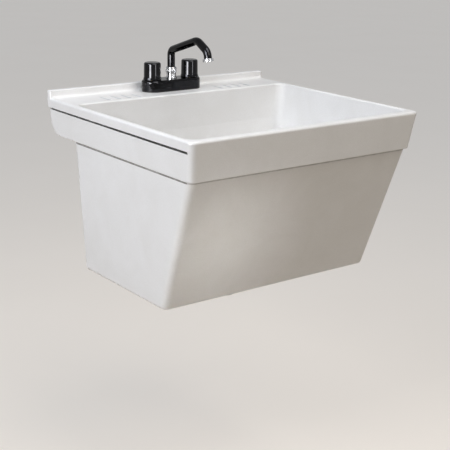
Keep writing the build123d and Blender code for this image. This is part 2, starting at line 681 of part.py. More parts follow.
for name, x in INLETS:
    with BuildPart() as valve_body:
        turn(
            x,
            FAUCET_Y,
            (
                (SHANK_BORE_R, -SHANK_DROP),
                (INLET_R, -SHANK_DROP),
                (INLET_R, INLET_LENGTH - SHANK_DROP),
                (SHANK_R, INLET_LENGTH - SHANK_DROP),
                (SHANK_R, VALVE_BOTTOM),
                (VALVE_R, VALVE_BOTTOM),
                (VALVE_R, BASE_ROOF),
                (BOSS_R, BASE_ROOF),
                (BOSS_R, BOSS_TOP),
                (CARTRIDGE_R, BOSS_TOP),
                (CARTRIDGE_R, CARTRIDGE_SEAT),
                (SHANK_BORE_R, CARTRIDGE_SEAT),
            ),
        )
        toward_middle = -1 if x > 0 else 1
        with BuildSketch(Plane(origin=(x, FAUCET_Y, WATERWAY_HEIGHT), z_dir=(toward_middle, 0, 0))) as port:
            Circle(WATERWAY_R)
        extrude(amount=VALVE_R + WATERWAY_R, mode=Mode.SUBTRACT)
    export(valve_body, f"{name}_valve_body")

    with BuildPart() as cartridge:
        turn(
            x,
            FAUCET_Y,
            (
                (STEM_R + RUNNING_PLAY, CARTRIDGE_SEAT),
                (CARTRIDGE_R - PART_PLAY, CARTRIDGE_SEAT),
                (CARTRIDGE_R - PART_PLAY, BOSS_TOP),
                (CARTRIDGE_FLANGE_R, BOSS_TOP),
                (CARTRIDGE_FLANGE_R, BOSS_TOP + CARTRIDGE_FLANGE),
                (CARTRIDGE_NECK_R, BOSS_TOP + CARTRIDGE_FLANGE),
                (CARTRIDGE_NECK_R, CARTRIDGE_TOP),
                (STEM_R + RUNNING_PLAY, CARTRIDGE_TOP),
            ),
        )
    export(cartridge, f"{name}_cartridge")

    with BuildPart() as bonnet_nut:
        with BuildSketch(Plane((x, FAUCET_Y, BASE_TOP))) as nut_outline:
            RegularPolygon(BONNET_R, 6)
            Circle(BOSS_R + THREAD_PLAY, mode=Mode.SUBTRACT)
        extrude(amount=BONNET_HEIGHT)
    export(bonnet_nut, f"{name}_bonnet_nut")

    with BuildPart() as shank_washer:
        washer_top = -DECK_THICKNESS
        turn(
            x,
            FAUCET_Y,
            ring_outline(SHANK_R + WASHER_PLAY, SHANK_WASHER_R, washer_top - SHANK_WASHER, washer_top),
        )
    export(shank_washer, f"{name}_shank_washer")

    with BuildPart() as shank_locknut:
        locknut_top = -DECK_THICKNESS - SHANK_WASHER
        with BuildSketch(Plane((x, FAUCET_Y, locknut_top - SHANK_NUT_HEIGHT))) as locknut_outline:
            RegularPolygon(SHANK_NUT_R, 6)
            Circle(SHANK_R + THREAD_PLAY, mode=Mode.SUBTRACT)
        extrude(amount=SHANK_NUT_HEIGHT)
    export(shank_locknut, f"{name}_shank_locknut")

    with BuildPart() as stem:
        with Locations((x, FAUCET_Y, STEM_BOTTOM)):
            Cylinder(STEM_R, STEM_TOP - STEM_BOTTOM, align=(Align.CENTER, Align.CENTER, Align.MIN))
        with Locations((x, FAUCET_Y, SCREW_HEAD_BOTTOM - SCREW_LENGTH)):
            Cylinder(
                SCREW_R + THREAD_PLAY,
                STEM_TOP - SCREW_HEAD_BOTTOM + SCREW_LENGTH,
                align=(Align.CENTER, Align.CENTER, Align.MIN),
                mode=Mode.SUBTRACT,
            )
    export(stem, f"{name}_stem")

    with BuildPart() as handle:
        turn(
            x,
            FAUCET_Y,
            (
                (SCREW_R + WASHER_PLAY, STEM_TOP),
                (SCREW_R + WASHER_PLAY, SCREW_HEAD_BOTTOM),
                (SCREW_POCKET_R, SCREW_HEAD_BOTTOM),
                (SCREW_POCKET_R, CAP_BOTTOM),
                (CAP_R + PART_PLAY, CAP_BOTTOM),
                (CAP_R + PART_PLAY, HANDLE_TOP),
                (HANDLE_TOP_R - HANDLE_EDGE, HANDLE_TOP),
                (HANDLE_TOP_R, HANDLE_TOP - HANDLE_EDGE),
                (HANDLE_R, HANDLE_BOTTOM + SKIRT_HEIGHT),
                (HANDLE_R + SKIRT_FLARE, HANDLE_BOTTOM + SKIRT_RIM),
                (HANDLE_R + SKIRT_FLARE, HANDLE_BOTTOM),
                (HANDLE_R - HANDLE_WALL, HANDLE_BOTTOM),
                (HANDLE_R - HANDLE_WALL, HANDLE_CEILING),
                (HANDLE_HUB_R, HANDLE_CEILING),
                (HANDLE_HUB_R, HANDLE_HUB_BOTTOM),
                (STEM_R, HANDLE_HUB_BOTTOM),
                (STEM_R, STEM_TOP),
            ),
        )
    export(handle, f"{name}_handle")

    with BuildPart() as handle_screw:
        turn(
            x,
            FAUCET_Y,
            (
                (0, SCREW_HEAD_BOTTOM - SCREW_LENGTH + SCREW_SLOT),
                (SCREW_R, SCREW_HEAD_BOTTOM - SCREW_LENGTH + SCREW_SLOT),
                (SCREW_R, SCREW_HEAD_BOTTOM),
                (SCREW_HEAD_R, SCREW_HEAD_BOTTOM),
                (SCREW_HEAD_R, SCREW_HEAD_BOTTOM + SCREW_HEAD),
                (0, SCREW_HEAD_BOTTOM + SCREW_HEAD),
            ),
        )
        with Locations((x, FAUCET_Y, SCREW_HEAD_BOTTOM + SCREW_HEAD)):
            Box(2 * SCREW_HEAD_R, SCREW_SLOT, 2 * SCREW_SLOT, mode=Mode.SUBTRACT)
    export(handle_screw, f"{name}_handle_screw")

    with BuildPart() as index_cap:
        with Locations((x, FAUCET_Y, CAP_BOTTOM)):
            Cylinder(CAP_R, CAP_SEAT + CAP_CROWN, align=(Align.CENTER, Align.CENTER, Align.MIN))
        fillet(edges().group_by(Axis.Z)[-1], radius=CAP_CROWN)
    export(index_cap, f"{name}_index_cap")

# Waterway between the two valve bodies, with the tee that carries the spout
with BuildPart() as waterway_tee:
    tee_plane = Plane(origin=(0, FAUCET_Y, WATERWAY_HEIGHT), x_dir=(0, 1, 0), z_dir=(1, 0, 0))
    half_run = INLET_SPACING / 2 - CARTRIDGE_R
    with BuildSketch(tee_plane) as pipe:
        Circle(WATERWAY_R - PART_PLAY)
    extrude(amount=half_run, both=True)
    turn(0, FAUCET_Y, ((0, TEE_BOTTOM), (TEE_R, TEE_BOTTOM), (TEE_R, BASE_ROOF), (0, BASE_ROOF)))
    with BuildSketch(tee_plane) as pipe_bore:
        Circle(WATERWAY_R - WATERWAY_WALL)
    extrude(amount=half_run, both=True, mode=Mode.SUBTRACT)
    with Locations((0, FAUCET_Y, WATERWAY_HEIGHT)):
        Cylinder(HUB_NIPPLE_R, BASE_TOP, align=(Align.CENTER, Align.CENTER, Align.MIN), mode=Mode.SUBTRACT)
export(waterway_tee, "waterway_tee")

with BuildPart() as spout_hub:
    turn(
        0,
        FAUCET_Y,
        (
            (HUB_BORE_R, WATERWAY_HEIGHT),
            (HUB_NIPPLE_R - PART_PLAY, WATERWAY_HEIGHT),
            (HUB_NIPPLE_R - PART_PLAY, BASE_TOP),
            (HUB_FLANGE_R, BASE_TOP),
            (HUB_FLANGE_R, BASE_TOP + HUB_FLANGE),
            (HUB_R, BASE_TOP + HUB_FLANGE),
            (HUB_R, HUB_SHOULDER),
            (HUB_THREAD_R, HUB_SHOULDER),
            (HUB_THREAD_R, HUB_TOP),
            (TUBE_R + RUNNING_PLAY, HUB_TOP),
            (TUBE_R + RUNNING_PLAY, RING_BOTTOM + RING_THICKNESS),
            (RING_R, RING_BOTTOM + RING_THICKNESS),
            (RING_R, RING_BOTTOM),
            (TUBE_R + RUNNING_PLAY, RING_BOTTOM),
            (TUBE_R + RUNNING_PLAY, TUBE_SEAT),
            (HUB_BORE_R, TUBE_SEAT),
        ),
    )
export(spout_hub, "spout_hub")

with BuildPart() as swivel_seal:
    turn(
        0,
        FAUCET_Y,
        ring_outline(TUBE_R + RUNNING_PLAY, RING_R, RING_BOTTOM + RING_PLAY, RING_BOTTOM + RING_THICKNESS),
    )
export(swivel_seal, "swivel_seal")

with BuildPart() as spout_nut:
    collar_top = HUB_TOP + COLLAR_PLAY + COLLAR_THICKNESS
    nut_ceiling = collar_top + COLLAR_PLAY
    turn(
        0,
        FAUCET_Y,
        (
            (HUB_THREAD_R + THREAD_PLAY, NUT_BOTTOM),
            (NUT_R, NUT_BOTTOM),
            (NUT_R, nut_ceiling + NUT_LIP),
            (TUBE_R + NUT_PLAY, nut_ceiling + NUT_LIP),
            (TUBE_R + NUT_PLAY, nut_ceiling),
            (HUB_THREAD_R + THREAD_PLAY, nut_ceiling),
        ),
    )
    chamfer(edges().filter_by(GeomType.CIRCLE).filter_by(lambda edge: edge.radius == NUT_R), NOZZLE_EDGE)
export(spout_nut, "spout_nut")

# Spout: one bent tube with a collar under the nut and a nozzle at its end
def onward(start, length, angle):
    """Point a length on from start, rising at an angle in degrees, as (reach, height)."""
    return (start[0] + length * cos(radians(angle)), start[1] + length * sin(radians(angle)))


post_end = (0, POST_HEIGHT)
crest = onward(post_end, RISE_LENGTH, RISE_ANGLE)
fall_end = onward(crest, FALL_LENGTH, -FALL_ANGLE)
tip_end = onward(fall_end, TIP_LENGTH, -TIP_ANGLE)

with BuildPart() as spout_tube:
    side_plane = Plane(origin=(0, FAUCET_Y, 0), x_dir=(0, -1, 0), z_dir=(-1, 0, 0))
    with BuildLine(side_plane) as centre_line:
        FilletPolyline(
            (0, TUBE_BOTTOM),
            post_end,
            crest,
            fall_end,
            tip_end,
            radius=(POST_BEND_R, CREST_BEND_R, FALL_BEND_R),
        )
    with BuildSketch(Plane((0, FAUCET_Y, TUBE_BOTTOM))) as tube_section:
        Circle(TUBE_R)
    sweep(tube_section.sketch, path=centre_line.line)
    collar_bottom = HUB_TOP + COLLAR_PLAY
    with Locations((0, FAUCET_Y, collar_bottom)):
        Cylinder(COLLAR_R, COLLAR_THICKNESS, align=(Align.CENTER, Align.CENTER, Align.MIN))
    with BuildSketch(Plane((0, FAUCET_Y, TUBE_BOTTOM))) as bore_section:
        Circle(TUBE_R - TUBE_WALL)
    sweep(bore_section.sketch, path=centre_line.line, mode=Mode.SUBTRACT)
export(spout_tube, "spout_tube")

tip = Vector(0, FAUCET_Y - tip_end[0], tip_end[1])
fall = Vector(0, fall_end[0] - tip_end[0], tip_end[1] - fall_end[1]).normalized()


def across_tip(along):
    """Workplane square to the spout's end, at a distance past the end of the tube."""
    return Plane(origin=tip + fall * along, x_dir=(1, 0, 0), z_dir=fall)


with BuildPart() as nozzle:
    with BuildSketch(across_tip(-NOZZLE_GRIP)):
        Circle(NOZZLE_R)
    extrude(amount=NOZZLE_GRIP + NOZZLE_REACH)
    chamfer(edges().filter_by(GeomType.CIRCLE), NOZZLE_EDGE)
    with BuildSketch(across_tip(-NOZZLE_GRIP)):
        Circle(TUBE_R)
    extrude(amount=NOZZLE_GRIP, mode=Mode.SUBTRACT)
    with BuildSketch(across_tip(0)):
        Circle(NOZZLE_SEAT_R)
    extrude(amount=NOZZLE_REACH, mode=Mode.SUBTRACT)
export(nozzle, "spout_nozzle")

with BuildPart() as outlet_washer:
    with BuildSketch(across_tip(0)):
        Circle(NOZZLE_SEAT_R)
        Circle(OUTLET_WASHER_BORE_R, mode=Mode.SUBTRACT)
    extrude(amount=OUTLET_WASHER)
export(outlet_washer, "outlet_washer")

with BuildPart() as outlet_screen:
    with BuildSketch(across_tip(OUTLET_WASHER)):
        Circle(NOZZLE_SEAT_R)
        ring_holes(SCREEN_RING_COUNTS, SCREEN_RING_PITCH, SCREEN_HOLE_R)
    extrude(amount=SCREEN_THICKNESS)
export(outlet_screen, "outlet_screen")
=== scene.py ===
"""Utility laundry sink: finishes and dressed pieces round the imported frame, in metres."""

import json
import math

import bmesh
import bpy
from mathutils import Matrix, Vector


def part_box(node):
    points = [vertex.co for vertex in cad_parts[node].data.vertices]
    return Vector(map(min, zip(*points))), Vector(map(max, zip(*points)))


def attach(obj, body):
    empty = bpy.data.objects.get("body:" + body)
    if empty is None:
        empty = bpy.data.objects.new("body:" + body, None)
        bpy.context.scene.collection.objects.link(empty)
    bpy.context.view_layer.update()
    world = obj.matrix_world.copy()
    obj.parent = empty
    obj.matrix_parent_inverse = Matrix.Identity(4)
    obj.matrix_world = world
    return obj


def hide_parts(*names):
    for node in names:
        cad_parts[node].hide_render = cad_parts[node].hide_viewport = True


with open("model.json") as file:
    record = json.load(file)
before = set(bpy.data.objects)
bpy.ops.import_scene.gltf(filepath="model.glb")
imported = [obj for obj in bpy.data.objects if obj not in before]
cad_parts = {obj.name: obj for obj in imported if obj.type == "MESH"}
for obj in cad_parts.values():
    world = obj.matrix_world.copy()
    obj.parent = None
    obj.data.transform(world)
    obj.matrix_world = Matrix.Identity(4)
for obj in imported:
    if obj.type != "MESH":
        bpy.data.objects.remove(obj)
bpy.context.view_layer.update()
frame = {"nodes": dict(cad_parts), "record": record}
NODES = frame["nodes"]

# Places read from the frame
DRAIN = Vector((0.0, sum(c.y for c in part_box("strainer_body")) / 2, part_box("strainer_body")[1].z))


# ---------------------------------------------------------------- finishes
def link(tree, output, socket):
    """Joins an output to an input socket of the same tree."""
    tree.links.new(output, socket)


def new_finish(name):
    """A material with its node tree and its main shader."""
    material = bpy.data.materials.new(name)
    material.use_nodes = True
    return material, material.node_tree, material.node_tree.nodes["Principled BSDF"]


def here(tree, scale=(1, 1, 1), centre=(0, 0, 0)):
    """Object coordinates, stretched about a centre."""
    place = tree.nodes.new("ShaderNodeTexCoord")
    mapping = tree.nodes.new("ShaderNodeMapping")
    mapping.inputs["Location"].default_value = [-c * s for c, s in zip(centre, scale)]
    mapping.inputs["Scale"].default_value = scale
    link(tree, place.outputs["Object"], mapping.inputs["Vector"])
    return mapping.outputs["Vector"]


def noise(tree, vector, scale, detail=2.0, rough=0.5, warp=0.0):
    """Cloudy pattern from 0 to 1; scale is in lumps per metre."""
    node = tree.nodes.new("ShaderNodeTexNoise")
    node.inputs["Scale"].default_value = scale
    node.inputs["Detail"].default_value = detail
    node.inputs["Roughness"].default_value = rough
    node.inputs["Distortion"].default_value = warp
    link(tree, vector, node.inputs["Vector"])
    return node.outputs["Fac"]


def cells(tree, vector, scale, output="Distance"):
    """Cell pattern; scale is in cells per metre."""
    node = tree.nodes.new("ShaderNodeTexVoronoi")
    node.inputs["Scale"].default_value = scale
    link(tree, vector, node.inputs["Vector"])
    return node.outputs[output]


def spread(tree, value, low, high, to_low=0.0, to_high=1.0):
    """Value stretched from low..high to to_low..to_high, held at both ends."""
    node = tree.nodes.new("ShaderNodeMapRange")
    for socket, number in zip(("From Min", "From Max", "To Min", "To Max"), (low, high, to_low, to_high)):
        node.inputs[socket].default_value = number
    link(tree, value, node.inputs["Value"])
    return node.outputs["Result"]


def maths(tree, operation, first, second=0.0):
    """One sum on two values, each a socket or a number."""
    node = tree.nodes.new("ShaderNodeMath")
    node.operation = operation
    for socket, value in zip(node.inputs, (first, second)):
        if isinstance(value, (int, float)):
            socket.default_value = value
        else:
            link(tree, value, socket)
    return node.outputs["Value"]


def blend_colour(tree, amount, first, second):
    """Colour between two colours, each a socket or an RGB triple."""
    node = tree.nodes.new("ShaderNodeMix")
    node.data_type = "RGBA"
    for index, value in ((6, first), (7, second)):
        if isinstance(value, tuple):
            node.inputs[index].default_value = (*value, 1.0)
        else:
            link(tree, value, node.inputs[index])
    link(tree, amount, node.inputs[0])
    return node.outputs[2]


def relief(tree, height, depth, strength=1.0, under=None):
    """Bump from a height pattern; depth is its real depth in metres."""
    node = tree.nodes.new("ShaderNodeBump")
    node.inputs["Strength"].default_value = strength
    node.inputs["Distance"].default_value = depth
    link(tree, height, node.inputs["Height"])
    if under is not None:
        link(tree, under, node.inputs["Normal"])
    return node.outputs["Normal"]


def from_axis(tree, centre):
    """Distance from the upright axis through centre, in metres."""
    place = here(tree, (1, 1, 0), centre)
    node = tree.nodes.new("ShaderNodeVectorMath")
    node.operation = "LENGTH"
    link(tree, place, node.inputs[0])
    return node.outputs["Value"]


def along_axis(tree, axis):
    """Distance along one axis of the frame, in metres."""
    node = tree.nodes.new("ShaderNodeSeparateXYZ")
    link(tree, here(tree), node.inputs[0])
    return node.outputs[axis]


def between(tree, value, low, high, soft=0.0003):
    """1 where a value lies between two limits, 0 outside them."""
    above = spread(tree, value, low - soft, low + soft)
    below = spread(tree, value, high - soft, high + soft, 1.0, 0.0)
    return maths(tree, "MULTIPLY", above, below)


def within(tree, *limits):
    """1 inside a box given by (axis, low, high) limits; both sides of the sink count alike."""
    inside = None
    for axis, low, high in limits:
        value = along_axis(tree, axis)
        value = maths(tree, "ABSOLUTE", value) if axis == "X" else value
        part = between(tree, value, low, high)
        inside = part if inside is None else maths(tree, "MULTIPLY", inside, part)
    return inside


RESIN_CREAM = (0.850, 0.847, 0.836)
RESIN_WHITE = (0.895, 0.895, 0.892)
RESIN_FLECK = (0.76, 0.755, 0.74)

# Film that dries on the bowl's floor: full up to one distance from the drain's axis, gone at the next
FILM_TAN = (0.62, 0.575, 0.49)
FILM_FULL, FILM_GONE = 0.045, 0.15
FILM_LOW, FILM_HIGH = DRAIN.z - 0.004, DRAIN.z - 0.001

# Where shade is painted on the resin: limits along the axes in metres, how much of it there is, and its
# colour
# Painted shade: a near-black line in the slot under each side lip
SEAM_UNDER_LIP = ("X", 0.2812, 0.2896), ("Z", -0.0248, -0.0197), ("Y", -0.5265, 0.001)
# Painted shadow: dark bands on the tub just under the side aprons and, fainter, under the front apron
UNDER_SIDE_APRON = ("X", 0.2780, 0.2812), ("Z", -0.0842, -0.0800), ("Y", -0.5120, 0.001)
UNDER_FRONT_APRON = ("Y", -0.5235, -0.5130), ("Z", -0.0842, -0.0800)
# Painted shade: grey-blue darkening inside the soap grooves on the deck
SOAP_GROOVES = ("X", 0.1050, 0.1970), ("Y", -0.0925, -0.0365), ("Z", -0.0060, -0.0006)
PAINTED_SHADE = (
    (SEAM_UNDER_LIP, 0.96, (0.045, 0.038, 0.033)),
    (UNDER_SIDE_APRON, 0.85, (0.085, 0.070, 0.058)),
    (UNDER_FRONT_APRON, 0.45, (0.16, 0.14, 0.12)),
    (SOAP_GROOVES, 0.62, (0.34, 0.35, 0.38)),
)


def white_resin():
    """Satin moulded resin of the basin, faintly mottled, with film round the drain and painted shade in the
    seam under the lip, under the aprons and in the soap grooves.
    """
    material, tree, shader = new_finish("basin_white")
    place = here(tree)
    mottle = spread(tree, noise(tree, place, 9.0, 4.0, 0.6, 0.6), 0.35, 0.65)
    flecks = spread(tree, noise(tree, place, 620.0, 2.0), 0.40, 0.62)
    colour = blend_colour(tree, mottle, RESIN_CREAM, RESIN_WHITE)
    colour = blend_colour(tree, spread(tree, flecks, 0, 1, 0, 0.30), colour, RESIN_FLECK)
    near = spread(tree, from_axis(tree, DRAIN), FILM_FULL, FILM_GONE, 1.0, 0.0)
    on_floor = spread(tree, along_axis(tree, "Z"), FILM_LOW, FILM_HIGH)
    patchy = spread(tree, noise(tree, place, 55.0, 5.0, 0.65, 1.0), 0.42, 0.62)
    film = maths(tree, "MULTIPLY", maths(tree, "MULTIPLY", near, on_floor), patchy)
    colour = blend_colour(tree, spread(tree, film, 0, 1, 0, 0.35), colour, FILM_TAN)
    uneven = spread(tree, noise(tree, place, 60.0, 3.0), 0.35, 0.6, 0.75, 1.0)
    # Painted shade: each mask darkens the resin where shade falls, broken up a little by noise
    for limits, share, shade_colour in PAINTED_SHADE:
        amount = maths(tree, "MULTIPLY", maths(tree, "MULTIPLY", within(tree, *limits), uneven), share)
        colour = blend_colour(tree, amount, colour, shade_colour)
    link(tree, colour, shader.inputs["Base Color"])
    smears = spread(tree, noise(tree, place, 26.0, 4.0, 0.6), 0.1, 0.9, 0.29, 0.38)
    dulled = maths(tree, "ADD", smears, maths(tree, "MULTIPLY", film, 0.12))
    link(tree, dulled, shader.inputs["Roughness"])
    peel = relief(tree, noise(tree, place, 170.0, 2.0), 0.00025, 0.35)
    grain = relief(tree, noise(tree, place, 1500.0, 1.0), 0.00006, 0.30, peel)
    link(tree, grain, shader.inputs["Normal"])
    return material


def mirror_plate(name, bright, dull, smooth, hazy):
    """Polished plating with faint haze and dried water spots."""
    material, tree, shader = new_finish(name)
    shader.inputs["Metallic"].default_value = 1.0
    place = here(tree)
    haze = spread(tree, noise(tree, place, 70.0, 4.0, 0.6, 0.8), 0.40, 0.68)
    spots = spread(tree, cells(tree, place, 420.0), 0.10, 0.16, 1.0, 0.0)
    sparse = spread(tree, noise(tree, place, 140.0, 1.0), 0.58, 0.64)
    dried = maths(tree, "MULTIPLY", spots, sparse)
    link(tree, blend_colour(tree, haze, bright, dull), shader.inputs["Base Color"])
    rough = maths(tree, "ADD", spread(tree, haze, 0, 1, smooth, hazy), maths(tree, "MULTIPLY", dried, 0.16))
    link(tree, rough, shader.inputs["Roughness"])
    link(tree, relief(tree, noise(tree, place, 110.0, 1.0), 0.00004, 0.12), shader.inputs["Normal"])
    return material


def worn_metal(name, clean, tarnished, smooth, rough, lumps, depth):
    """Cast or turned metal with tarnish in patches and a fine surface."""
    material, tree, shader = new_finish(name)
    shader.inputs["Metallic"].default_value = 1.0
    place = here(tree)
    patches = spread(tree, noise(tree, place, 45.0, 5.0, 0.65, 0.5), 0.40, 0.66)
    link(tree, blend_colour(tree, patches, clean, tarnished), shader.inputs["Base Color"])
    link(tree, spread(tree, patches, 0, 1, smooth, rough), shader.inputs["Roughness"])
    link(tree, relief(tree, noise(tree, place, lumps, 3.0), depth, 0.5), shader.inputs["Normal"])
    return material


def galvanised():
    """Zinc-coated sheet with its spangle."""
    material, tree, shader = new_finish("hanger_steel")
    shader.inputs["Metallic"].default_value = 1.0
    place = here(tree)
    spangle = cells(tree, place, 150.0, "Color")
    grey = tree.nodes.new("ShaderNodeRGBToBW")
    link(tree, spangle, grey.inputs["Color"])
    streaks = spread(tree, noise(tree, place, 30.0, 4.0, 0.6, 0.5), 0.35, 0.7)
    colour = blend_colour(tree, grey.outputs["Val"], (0.50, 0.51, 0.53), (0.63, 0.64, 0.66))
    colour = blend_colour(tree, spread(tree, streaks, 0, 1, 0, 0.4), colour, (0.36, 0.37, 0.38))
    link(tree, colour, shader.inputs["Base Color"])
    link(tree, spread(tree, grey.outputs["Val"], 0, 1, 0.28, 0.48), shader.inputs["Roughness"])
    link(tree, relief(tree, grey.outputs["Val"], 0.00004, 0.3), shader.inputs["Normal"])
    return material


def spun_steel():
    """Stainless steel polished in rings about the drain's axis."""
    material, tree, shader = new_finish("drain_steel")
    shader.inputs["Metallic"].default_value = 1.0
    place = here(tree)
    radius = from_axis(tree, DRAIN)
    rings = tree.nodes.new("ShaderNodeTexNoise")
    rings.noise_dimensions = "1D"
    rings.inputs["Scale"].default_value = 2600.0
    rings.inputs["Detail"].default_value = 2.0
    link(tree, radius, rings.inputs["W"])
    film = spread(tree, noise(tree, place, 90.0, 4.0, 0.6, 0.6), 0.42, 0.66)
    link(tree, blend_colour(tree, film, (0.60, 0.60, 0.59), (0.45, 0.44, 0.42)), shader.inputs["Base Color"])
    polish = spread(tree, rings.outputs["Fac"], 0.3, 0.7, 0.14, 0.26)
    link(tree, maths(tree, "ADD", polish, spread(tree, film, 0, 1, 0, 0.14)), shader.inputs["Roughness"])
    link(tree, relief(tree, rings.outputs["Fac"], 0.00002, 0.4), shader.inputs["Normal"])
    return material


def moulded(name, light, dark, smooth, rough, lumps, depth, dust=0.0):
    """Moulded plastic, rubber or fibre with a matt grain."""
    material, tree, shader = new_finish(name)
    place = here(tree)
    cloud = spread(tree, noise(tree, place, 40.0, 4.0, 0.6, 0.5), 0.35, 0.68)
    grain = noise(tree, place, lumps, 3.0, 0.6)
    colour = blend_colour(tree, cloud, light, dark)
    if dust:
        settled = spread(tree, noise(tree, place, 160.0, 4.0, 0.7), 0.45, 0.75, 0.0, dust)
        colour = blend_colour(tree, settled, colour, (0.30, 0.29, 0.27))
    link(tree, colour, shader.inputs["Base Color"])
    link(tree, spread(tree, grain, 0.3, 0.7, smooth, rough), shader.inputs["Roughness"])
    link(tree, relief(tree, grain, depth, 0.5), shader.inputs["Normal"])
    return material


# Plastic, rubber and fibre: light, dark, smooth, rough, grains per metre, grain depth and dust
MOULDED = {
    "drain_plastic": ((0.76, 0.76, 0.73), (0.66, 0.65, 0.61), 0.34, 0.50, 700.0, 0.00008),
    "rubber_black": ((0.018, 0.018, 0.019), (0.030, 0.029, 0.028), 0.52, 0.75, 1100.0, 0.0001, 0.12),
    "fibre_washer": ((0.42, 0.30, 0.19), (0.30, 0.21, 0.13), 0.75, 0.95, 1600.0, 0.00015),
    "cartridge_plastic": ((0.05, 0.052, 0.056), (0.075, 0.077, 0.08), 0.40, 0.55, 900.0, 0.00006),
}
# Brass and copper: clean, tarnished, smooth, rough, lumps per metre and lump depth
WORN = {
    "valve_brass": ((0.72, 0.52, 0.25), (0.46, 0.33, 0.17), 0.22, 0.42, 1200.0, 0.00008),
    "waterway_copper": ((0.74, 0.39, 0.26), (0.42, 0.23, 0.16), 0.20, 0.40, 900.0, 0.00004),
}
# Plating: bright, dull, smooth and hazy
PLATED = {
    "faucet_black": ((0.027, 0.027, 0.029), (0.036, 0.036, 0.038), 0.035, 0.07),
    "faucet_chrome": ((0.74, 0.75, 0.77), (0.66, 0.67, 0.69), 0.07, 0.14),
}
FINISHES = {"basin_white": white_resin(), "hanger_steel": galvanised(), "drain_steel": spun_steel()}
for maker, kinds in ((moulded, MOULDED), (worn_metal, WORN), (mirror_plate, PLATED)):
    for name, look in kinds.items():
        FINISHES[name] = maker(name, *look)

for row in frame["record"]["subparts"]:
    mesh = NODES[row["node"]].data
    mesh.materials.clear()
    mesh.materials.append(FINISHES[row["material_slot"]])


# ---------------------------------------------------------------- mesh making, in millimetres
MM = 0.001
ARC_STEP = math.radians(10)
ROUND = 96
SHARP = math.radians(38)
FLAT_SHARE = math.cos(math.pi / 6)


def span(node):
    """Lowest and highest point of a CAD node, in millimetres."""
    return tuple(corner.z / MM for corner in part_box(node))


def middle(node):
    """Middle of a CAD node in plan, in millimetres."""
    low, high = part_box(node)
    return (low.x + high.x) / 2 / MM, (low.y + high.y) / 2 / MM


def softened(corners, closed=True):
    """Outline through (a, b) corners; a corner's third number is the radius it is rounded to."""
    outline = []
    for index, corner in enumerate(corners):
        point = Vector(corner[:2])
        at_end = not closed and index in (0, len(corners) - 1)
        if len(corner) < 3 or at_end:
            outline.append(tuple(point))
            continue
        back = (Vector(corners[index - 1][:2]) - point).normalized()
        ahead = (Vector(corners[(index + 1) % len(corners)][:2]) - point).normalized()
        bend = math.pi - back.angle(ahead)
        centre = point + (back + ahead).normalized() * (corner[2] / math.cos(bend / 2))
        start = point + back * (corner[2] * math.tan(bend / 2)) - centre
        side = 1 if back.cross(ahead) < 0 else -1
        steps = max(2, round(bend / ARC_STEP))
        for step in range(steps + 1):
            outline.append(tuple(centre + Matrix.Rotation(side * bend * step / steps, 2) @ start))
    return outline


def bridge(bm, first, second):
    """Faces between two rings of points; a ring of one point is a pole."""
    count = max(len(first), len(second))
    if count == 1:
        return
    for index in range(count):
        after = (index + 1) % count
        corners = (
            first[index % len(first)],
            first[after % len(first)],
            second[after % len(second)],
            second[index % len(second)],
        )
        bm.faces.new(dict.fromkeys(corners))


def lofted(loops, closed=True):
    """Walls through loops of points; an open stack of loops is capped at both ends."""
    bm = bmesh.new()
    rings = [[bm.verts.new(point) for point in loop] for loop in loops]
    for first, second in zip(rings, rings[1:]):
        bridge(bm, first, second)
    if closed:
        bridge(bm, rings[-1], rings[0])
    else:
        bm.faces.new(rings[0])
        bm.faces.new(rings[-1])
    return bm


def circle(radius, height, centre=(0, 0), steps=ROUND):
    """Points round an upright axis."""
    if radius < 1e-6:
        return [(*centre, height)]
    turns = (2 * math.pi * step / steps for step in range(steps))
    return [(centre[0] + radius * math.cos(a), centre[1] + radius * math.sin(a), height) for a in turns]


def turned(corners, centre=(0, 0), steps=ROUND):
    """Outline of (radius, height) corners turned about the upright through centre."""
    return lofted([circle(radius, height, centre, steps) for radius, height in softened(corners)])


def ring_section(inner, outer, low, high, edge=0.4):
    """Half section of a ring with softened edges."""
    return ((inner, low, edge), (outer, low, edge), (outer, high, edge), (inner, high, edge))


def stadium(half_run, radius, height, centre, steps=24):
    """Plan loop with full round ends."""
    points = []
    for side in (1, -1):
        for step in range(steps + 1):
            turn = math.pi * (step / steps - 0.5) + (0 if side > 0 else math.pi)
            points.append((
                centre[0] + side * half_run + radius * math.cos(turn),
                centre[1] + radius * math.sin(turn),
                height,
            ))
    return points


def six_sided(corner_radius, limit, height, centre, steps=ROUND):
    """Plan loop of a hexagon whose corners are turned down to a limit radius."""
    points = []
    flat_radius = corner_radius * FLAT_SHARE
    for step in range(steps):
        turn = 2 * math.pi * step / steps
        off_flat = (turn % (math.pi / 3)) - math.pi / 6
        radius = min(flat_radius / math.cos(off_flat), limit)
        points.append((centre[0] + radius * math.cos(turn), centre[1] + radius * math.sin(turn), height))
    return points


def six_sides(corner_radius, margin, drop, shares, low, high, centre):
    """Loops up the sides of a hexagon, whose corners are turned down over a drop at both ends."""
    least = corner_radius * FLAT_SHARE - margin
    most = corner_radius + margin - corner_radius * FLAT_SHARE
    ends = [(least + most * share, drop * share) for share in shares]
    lower = [six_sided(corner_radius, limit, low + rise, centre) for limit, rise in ends]
    return lower + [six_sided(corner_radius, limit, high - rise, centre) for limit, rise in reversed(ends)]


def hex_nut(corner_radius, bore, low, high, centre, edge=0.5):
    """Six-sided nut with chamfered corners and a softened bore."""
    drop = (corner_radius - corner_radius * FLAT_SHARE) * math.tan(math.radians(30))
    loops = [circle(bore, low + edge, centre), circle(bore + edge, low, centre)]
    loops += six_sides(corner_radius, 0.3, drop, (0, 0.25, 0.5, 0.75, 1), low, high, centre)
    loops += [circle(bore + edge, high, centre), circle(bore, high - edge, centre)]
    return lofted(loops)


def laid(bm, turn, place):
    """Mesh turned by a matrix and moved to a place."""
    lay = turn.to_4x4()
    lay.translation = place
    bmesh.ops.transform(bm, matrix=lay, verts=bm.verts)
    return bm


